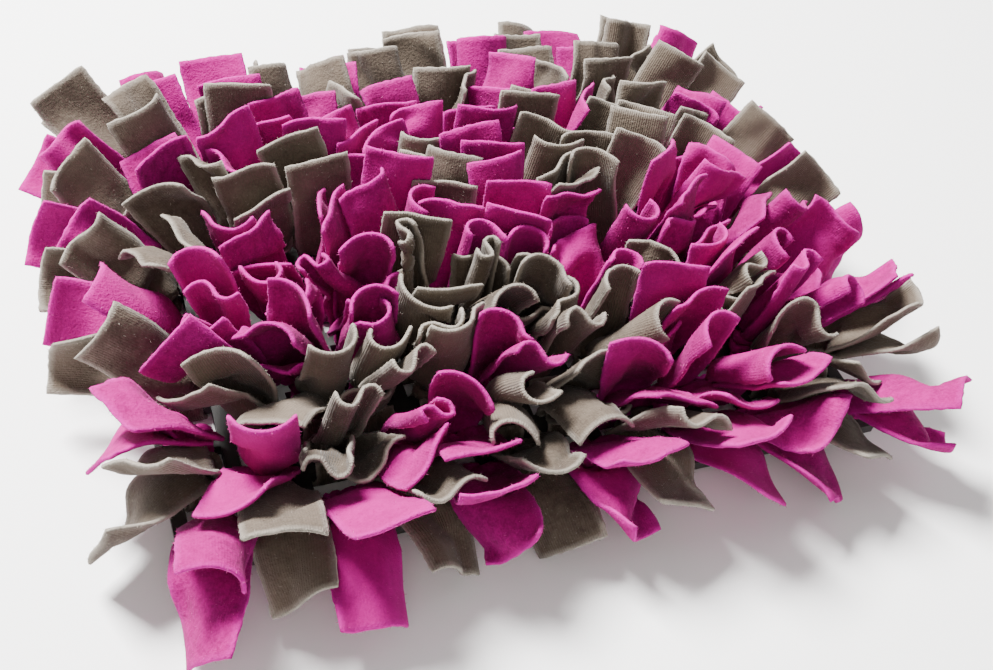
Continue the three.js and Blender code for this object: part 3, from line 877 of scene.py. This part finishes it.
class SNUFFLE_OT_fleece(bpy.types.Operator):
    """Build every row of tied fleece strips in both colours"""
    bl_idname = "snuffle.fleece"
    bl_label = "Fleece Strips"

    def execute(self, context):
        sizes, colours = context.scene.snuffle_sizes, context.scene.snuffle_colours
        random = np.random.default_rng(11)
        lanes, left, right, forks = {}, [], [], []
        for name, node in sorted(frame["nodes"].items()):
            if not name.startswith(COLOURS):
                continue
            tails = cad_tails(node)
            knots = self.knots(np.array([(t[0][0] + t[1][0]) / 2 for t in tails]))
            if any(len(knot) != 2 for knot in knots):
                raise RuntimeError(f"{len(tails)} tails of {len(knots)} knots found in {name}")
            lanes[name] = list(range(len(left), len(left) + len(tails)))
            forks += [(name, [tails[i] for i in knot]) for knot in knots]
            left += [t[0] for t in tails]
            right += [t[1] for t in tails]
        thirds = self.third_tails(lanes, left, right, forks, random)
        low, high = (np.array(c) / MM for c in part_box("base_lattice"))
        tails = Tails(np.array(left), np.array(right), sizes.strip_width / MM)
        lattice = (high - low)[:2] / 2, ((high + low) / 2)[:2]
        steps, calming = ((sizes.settle_steps, CALMING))
        crossed = tails.lay(steps, *lattice, calming)
        # of two tails that cross to the last, the third tail is left out, or the later one of two
        dropped = {max(pair, key=lambda i: (i in thirds, i)) for pair in crossed.tolist()} & thirds
        lanes = {name: np.array([i for i in row if i not in dropped])
                 for name, row in lanes.items()}
        fine = finer(tails.at, 2)
        half = sizes.thickness / MM / 2
        strip = sizes.strip_width, sizes.strip_length
        for colour in COLOURS:
            # The main colour, the painted nap shade and the painted edge highlight of each fleece.
            look = [tuple(getattr(colours, colour + part)) for part in ("", "_deep", "_edge")]
            material = fleece_material(colour + "_fleece", *look,
                                       sizes.rib_pitch, **FINISH[colour])
            for name, members in lanes.items():
                if not name.startswith(colour):
                    continue
                batch = Batch()
                roots = tails.start[members, 0]
                for knot in self.knots(roots):
                    centre = roots[knot].mean(axis=0)
                    tint = random.random()
                    for i in knot:
                        sheet_mesh(batch, fine[members[i]], half, tint, random)
                    knot_mesh(batch, centre, tint, random)
                    bar = centre[1] + (BAR_OFFSET if colour == "magenta" else -BAR_OFFSET)
                    loop_mesh(batch, centre, bar, half, tint, random)
                piece = object_from(batch.mesh(name + "_cloth"), name + "_cloth", material)
                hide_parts(name)
                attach(piece, "root")
                tails.cut_area(members, strip)
        return {"FINISHED"}

    @staticmethod
    def third_tails(lanes, left, right, forks, random, tries=16):
        """Adds a shorter tail to each knot's fork where one stands clear of all the others."""
        cloth, made = flat_cloth(left, right), set()
        for lane, fork in forks:
            tree = cloth_tree(cloth, SEAT_ROWS)[0]
            for _ in range(tries):
                edges = third_tail(fork, random)
                tail = flat_cloth([edges[0]], [edges[1]])
                if tree.overlap(cloth_tree(tail, SEAT_ROWS)[0]):
                    continue
                made.add(len(left))
                lanes[lane].append(len(left))
                left.append(edges[0])
                right.append(edges[1])
                cloth = np.concatenate([cloth, tail])
                break
        return made

    @staticmethod
    def knots(roots):
        """Tails of a row grouped by the knot that they leave."""
        order = np.argsort(roots[:, 0])
        groups = [[order[0]]]
        for i in order[1:]:
            if roots[i, 0] - roots[groups[-1][0], 0] < KNOT_REACH:
                groups[-1].append(i)
            else:
                groups.append([i])
        return groups


class SNUFFLE_OT_fuzz(bpy.types.Operator):
    """Scatter loose fibres over the nap and the cut edges of the fleece"""
    bl_idname = "snuffle.fuzz"
    bl_label = "Fleece Fuzz"

    def execute(self, context):
        sizes = context.scene.snuffle_sizes
        tree = self.tree()
        sockets = {s.name: s.identifier for s in tree.interface.items_tree
                   if s.item_type == "SOCKET" and s.in_out == "INPUT"}
        for seed, colour in enumerate(COLOURS):
            cloth = [o for o in bpy.data.objects
                     if o.name.startswith(colour) and o.name.endswith("_cloth")]
            joined = self.joined(cloth, colour)
            material = bpy.data.materials[colour + "_fleece"]
            made = object_from(joined, colour + "_fuzz", material)
            modifier = made.modifiers.new("Fuzz", "NODES")
            modifier.node_group = tree
            for key, value in (("Density", FIBRES),
                               ("Edge Extra", EDGE_FIBRES), ("Length", sizes.fibre_length),
                               ("Width", sizes.fibre_width), ("Seed", seed + 3),
                               ("Material", material)):
                modifier[sockets[key]] = value
            graph = context.evaluated_depsgraph_get()
            plain = bpy.data.meshes.new_from_object(made.evaluated_get(graph))
            made.modifiers.clear()
            made.data = plain
            plain.name = colour + "_fuzz"
            # The fibres get a quarter of the rim, and with it a share of the painted edge highlight.
            for key, value in (("tint", 0.5), ("rim", 0.25)):
                paint(plain, key, np.full(len(plain.vertices), value))
            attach(made, "root")
        return {"FINISHED"}

    @staticmethod
    def joined(cloth, name):
        """One mesh with the points and faces of several, and how near each point is to an edge."""
        points, faces, rims, count = [], [], [], 0
        for piece in cloth:
            mesh = piece.data
            points.append(read(mesh.vertices, "co", np.float32, 3).reshape(-1, 3))
            faces.append(read(mesh.loops, "vertex_index", np.int32).reshape(-1, 4) + count)
            rims.append(read(mesh.attributes["rim"].data, "value", np.float32))
            count += len(mesh.vertices)
        mesh = bpy.data.meshes.new(name + "_scatter")
        mesh.from_pydata(np.concatenate(points).tolist(), [], np.concatenate(faces).tolist())
        paint(mesh, "rim", np.concatenate(rims))
        return mesh

    @staticmethod
    def tree():
        tree = bpy.data.node_groups.new("Fuzz Fibres", "GeometryNodeTree")
        face = tree.interface
        face.new_socket("Geometry", in_out="INPUT", socket_type="NodeSocketGeometry")
        for name, kind in (("Density", "Float"), ("Edge Extra", "Float"), ("Length", "Float"),
                           ("Width", "Float"), ("Seed", "Int"), ("Material", "Material")):
            face.new_socket(name, in_out="INPUT", socket_type="NodeSocket" + kind)
        face.new_socket("Geometry", in_out="OUTPUT", socket_type="NodeSocketGeometry")

        node = Graph(tree).node
        source = node("NodeGroupInput", output="Geometry")
        rim = node("GeometryNodeInputNamedAttribute", {"Name": "rim"}, data_type="FLOAT")
        density = (rim * source.beside("Edge Extra") + 1.0) * source.beside("Density")
        spots = node("GeometryNodeDistributePointsOnFaces", {
            "Mesh": source, "Density": density, "Seed": source.beside("Seed")})
        blade = node("GeometryNodeMeshCircle", {"Vertices": 3, "Radius": 1.0}, fill_type="NGON")
        size = node("ShaderNodeCombineXYZ", {
            "X": source.beside("Width"), "Y": source.beside("Length"), "Z": 1.0})
        stand = node("GeometryNodeTransform", {
            "Geometry": blade, "Scale": size, "Rotation": (math.pi / 2, 0.0, 0.0)})
        tilt = node("FunctionNodeRandomValue", {
            "Min": (-1.0, -1.0, -3.1), "Max": (1.0, 1.0, 3.1)}, data_type="FLOAT_VECTOR")
        turned = node("FunctionNodeRotateRotation", {
            0: spots.beside("Rotation"), 1: tilt}, rotation_space="LOCAL")
        grow = node("FunctionNodeRandomValue", {2: 0.45, 3: 1.25}, 1, data_type="FLOAT")
        copies = node("GeometryNodeInstanceOnPoints", {
            "Points": spots, "Instance": stand, "Rotation": turned, "Scale": grow})
        real = node("GeometryNodeRealizeInstances", {"Geometry": copies})
        painted = node("GeometryNodeSetMaterial", {
            "Geometry": real, "Material": source.beside("Material")})
        feed(tree, tree.nodes.new("NodeGroupOutput").inputs[0], painted)
        return tree


class SNUFFLE_OT_lattice(bpy.types.Operator):
    """Finish the rubber lattice under the fleece"""
    bl_idname = "snuffle.lattice"
    bl_label = "Rubber Lattice"

    def execute(self, context):
        node = frame["nodes"]["base_lattice"]
        material = rubber_material("rubber", tuple(context.scene.snuffle_colours.rubber))
        node.data.materials.clear()
        node.data.materials.append(material)
        bevel = node.modifiers.new("Soft Edges", "BEVEL")
        bevel.width = 0.0008
        bevel.segments = 2
        bevel.limit_method = "ANGLE"
        return {"FINISHED"}


class SNUFFLE_OT_stage(bpy.types.Operator):
    """Set up the floor, the lights and the camera"""
    bl_idname = "snuffle.stage"
    bl_label = "Stage"

    def execute(self, context):
        scene = context.scene
        self.floor(scene)
        self.light(scene)
        self.camera(scene)
        return {"FINISHED"}

    @staticmethod
    def floor(scene):
        mesh = bpy.data.meshes.new("floor")
        r = FLOOR_HALF
        mesh.from_pydata([(-r, -r, 0), (r, -r, 0), (r, r, 0), (-r, r, 0)], [], [(0, 1, 2, 3)])
        made = object_from(mesh, "floor", floor_material(
            "floor", tuple(scene.snuffle_colours.floor)))
        made.location.z = -0.0002

    @staticmethod
    def light(scene):
        world = bpy.data.worlds.new("studio")
        world.use_nodes = True
        sky = world.node_tree.nodes["Background"]
        sky.inputs["Color"].default_value = (1.0, 1.0, 1.0, 1)
        sky.inputs["Strength"].default_value = 0.40
        scene.world = world
        for name, place, size, power, colour in (
                ("key", (-0.55, 0.85, 1.45), 0.6, 185.0, (1.0, 0.99, 0.98)),
                ("fill", (-0.5, -1.3, 1.1), 1.2, 9.0, (1.0, 0.94, 0.86)),
                ("side", (1.4, 0.2, 0.9), 1.2, 6.0, (0.97, 0.98, 1.0))):
            lamp = bpy.data.lights.new(name, "AREA")
            lamp.size = size
            lamp.energy = power
            lamp.color = colour
            made = bpy.data.objects.new(name, lamp)
            made.location = place
            made.rotation_euler = (-Vector(place)).to_track_quat("-Z", "Y").to_euler()
            scene.collection.objects.link(made)

    @staticmethod
    def camera(scene, azimuth=-27.5, elevation=46.0, roll=11.0, distance=0.5463,
               target=(-0.0021, -0.032, 0.020), lens=45.05):
        a, e, r = (math.radians(v) for v in (azimuth, elevation, roll))
        back = Vector((math.sin(a) * math.cos(e), -math.cos(a) * math.cos(e), math.sin(e)))
        right = (-back).cross(Vector((0, 0, 1))).normalized()
        up = right.cross(-back)
        right, up = (right * math.cos(r) + up * math.sin(r), up * math.cos(r) - right * math.sin(r))
        place = Vector(target) + back * distance
        turn = Matrix((right, up, back)).transposed().to_4x4()
        lens_data = bpy.data.cameras.new("camera")
        lens_data.lens = lens
        lens_data.sensor_width = 36.0
        lens_data.clip_start = 0.01
        made = bpy.data.objects.new("camera", lens_data)
        made.matrix_world = Matrix.Translation(place) @ turn
        scene.collection.objects.link(made)
        scene.camera = made


class SNUFFLE_PT_panel(bpy.types.Panel):
    """Sizes, colours and steps of the snuffle mat"""
    bl_idname = "SNUFFLE_PT_panel"
    bl_label = "Snuffle Mat"
    bl_space_type = "VIEW_3D"
    bl_region_type = "UI"
    bl_category = "Snuffle Mat"

    def draw(self, context):
        layout = self.layout
        for settings in (context.scene.snuffle_sizes, context.scene.snuffle_colours):
            box = layout.box()
            for key in settings.__annotations__:
                box.prop(settings, key)
        for step in STEPS:
            layout.operator(step.bl_idname)


STEPS = (SNUFFLE_OT_fleece, SNUFFLE_OT_fuzz, SNUFFLE_OT_lattice, SNUFFLE_OT_stage)
CLASSES = (SnuffleSizes, SnuffleColours, *STEPS, SNUFFLE_PT_panel)


def register():
    for cls in CLASSES:
        bpy.utils.register_class(cls)
    bpy.types.Scene.snuffle_sizes = bpy.props.PointerProperty(type=SnuffleSizes)
    bpy.types.Scene.snuffle_colours = bpy.props.PointerProperty(type=SnuffleColours)


def unregister():
    del bpy.types.Scene.snuffle_colours
    del bpy.types.Scene.snuffle_sizes
    for cls in reversed(CLASSES):
        bpy.utils.unregister_class(cls)


def main():
    register()
    bpy.ops.snuffle.fleece()
    bpy.ops.snuffle.fuzz()
    bpy.ops.snuffle.lattice()
    bpy.ops.snuffle.stage()
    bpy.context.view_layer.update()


if __name__ == "__main__":
    main()
